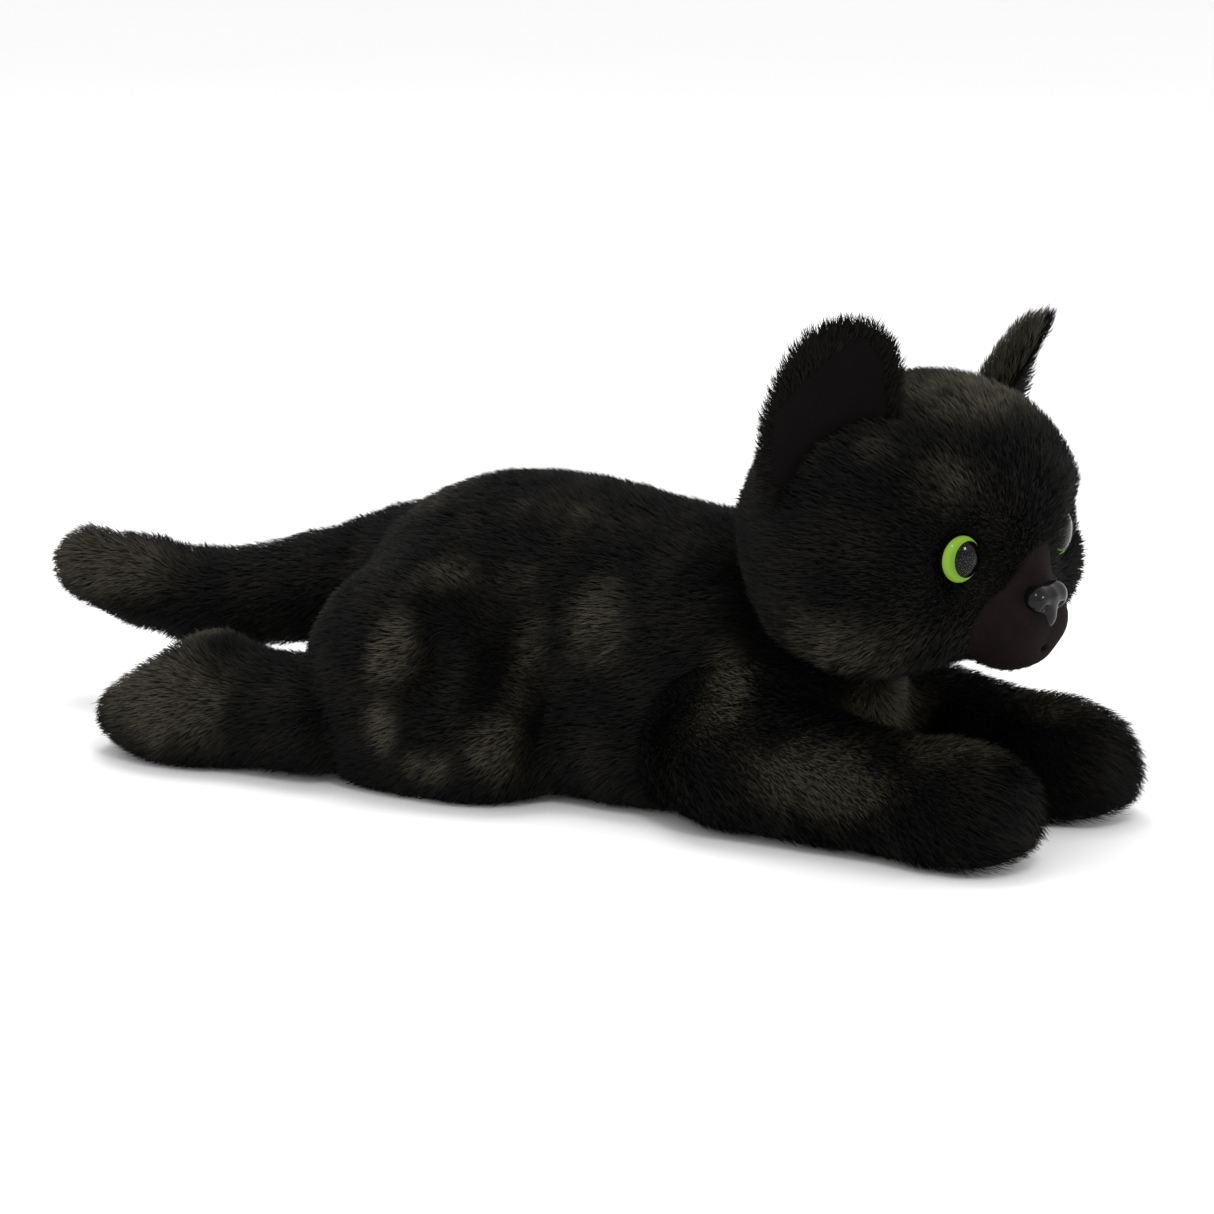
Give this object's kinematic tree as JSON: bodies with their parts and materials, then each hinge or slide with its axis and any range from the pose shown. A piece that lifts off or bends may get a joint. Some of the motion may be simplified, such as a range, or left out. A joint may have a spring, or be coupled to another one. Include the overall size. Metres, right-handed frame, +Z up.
{
  "type": "plush cat",
  "caption": "Stuffed plush cat lying on its belly, front legs forward, hind legs back, with safety eyes and turning head, legs, tail and ears.",
  "frame": {"origin": "on the flat underside of the belly, in the toy's middle plane and halfway along it", "axes": "+Y runs from the nose to the tail, the cat faces -Y; +Z is up; +X is the cat's left"},
  "size_m": [0.1837, 0.4088, 0.1699],
  "materials": {
    "black_plush": "short-pile plush, near black with an olive brown sheen on the nap",
    "short_velboa": "very short velboa pile, dark brown black",
    "fibre_fill": "loose polyester fibre",
    "pellet_bag": "thin bag filled with plastic pellets",
    "clear_lens": "clear polished dome",
    "painted_iris": "yellow green iris round a black pupil",
    "nose_plastic": "gloss black moulding",
    "washer_plastic": "plain"
  },
  "bodies": {
    "torso": {"torso_panel_right": "black_plush", "torso_panel_left": "black_plush", "belly_panel": "black_plush", "torso_stuffing": "fibre_fill", "torso_pellet_bag": "pellet_bag"},
    "head": {"head_side_right": "black_plush", "head_side_left": "black_plush", "crown_gusset": "black_plush", "chin_panel": "black_plush", "muzzle_pad_right": "short_velboa", "muzzle_pad_left": "short_velboa", "muzzle_bridge": "short_velboa", "head_stuffing": "fibre_fill", "eye_lens_right": "clear_lens", "eye_lens_left": "clear_lens", "eye_iris_right": "painted_iris", "eye_iris_left": "painted_iris", "eye_washer_right": "washer_plastic", "eye_washer_left": "washer_plastic", "nose_cap": "nose_plastic", "nose_washer": "washer_plastic"},
    "tail": {"tail_right": "black_plush", "tail_left": "black_plush", "tail_stuffing": "fibre_fill"},
    "front_leg_right": {"front_leg_outer_right": "black_plush", "front_leg_inner_right": "black_plush", "front_leg_sole_right": "short_velboa", "front_leg_stuffing_right": "fibre_fill", "front_leg_pellet_bag_right": "pellet_bag"},
    "hind_leg_right": {"hind_leg_outer_right": "black_plush", "hind_leg_inner_right": "black_plush", "hind_leg_sole_right": "short_velboa", "hind_leg_stuffing_right": "fibre_fill", "hind_leg_pellet_bag_right": "pellet_bag"},
    "ear_right": {"ear_back_right": "black_plush", "ear_lining_right": "short_velboa"},
    "front_leg_left": {"front_leg_outer_left": "black_plush", "front_leg_inner_left": "black_plush", "front_leg_sole_left": "short_velboa", "front_leg_stuffing_left": "fibre_fill", "front_leg_pellet_bag_left": "pellet_bag"},
    "hind_leg_left": {"hind_leg_outer_left": "black_plush", "hind_leg_inner_left": "black_plush", "hind_leg_sole_left": "short_velboa", "hind_leg_stuffing_left": "fibre_fill", "hind_leg_pellet_bag_left": "pellet_bag"},
    "ear_left": {"ear_back_left": "black_plush", "ear_lining_left": "short_velboa"}
  },
  "joints": [
    {"name": "head_turn", "type": "hinge", "parent": "torso", "child": "head", "pos_m": [0, -0.121, 0.096], "axis": [0, 0, 1], "range_deg": [-20, 20], "stiffness_Nm_per_rad": 0.05},
    {"name": "front_leg_right_splay", "type": "hinge", "parent": "torso", "child": "front_leg_right", "pos_m": [-0.039, -0.101, 0.021], "axis": [0, 0, 1], "range_deg": [-28, 3], "stiffness_Nm_per_rad": 0.02},
    {"name": "front_leg_left_splay", "type": "hinge", "parent": "torso", "child": "front_leg_left", "pos_m": [0.039, -0.101, 0.021], "axis": [0, 0, 1], "range_deg": [-3, 28], "stiffness_Nm_per_rad": 0.02},
    {"name": "hind_leg_right_splay", "type": "hinge", "parent": "torso", "child": "hind_leg_right", "pos_m": [-0.062, 0.053, 0.022], "axis": [0, 0, 1], "range_deg": [-3, 20], "stiffness_Nm_per_rad": 0.02},
    {"name": "hind_leg_left_splay", "type": "hinge", "parent": "torso", "child": "hind_leg_left", "pos_m": [0.062, 0.053, 0.022], "axis": [0, 0, 1], "range_deg": [-20, 3], "stiffness_Nm_per_rad": 0.02},
    {"name": "tail_swing", "type": "hinge", "parent": "torso", "child": "tail", "pos_m": [0, 0.06, 0.063], "axis": [0, 0, 1], "range_deg": [-25, 25], "stiffness_Nm_per_rad": 0.02},
    {"name": "ear_right_fold", "type": "hinge", "parent": "head", "child": "ear_right", "pos_m": [-0.04993, -0.12794, 0.12239], "axis": [-0.4609, 0.5822, -0.6698], "range_deg": [-12, 12], "stiffness_Nm_per_rad": 0.01},
    {"name": "ear_left_fold", "type": "hinge", "parent": "head", "child": "ear_left", "pos_m": [0.04796, -0.13651, 0.12239], "axis": [0.555, 0.4933, -0.6698], "range_deg": [-12, 12], "stiffness_Nm_per_rad": 0.01}
  ]
}
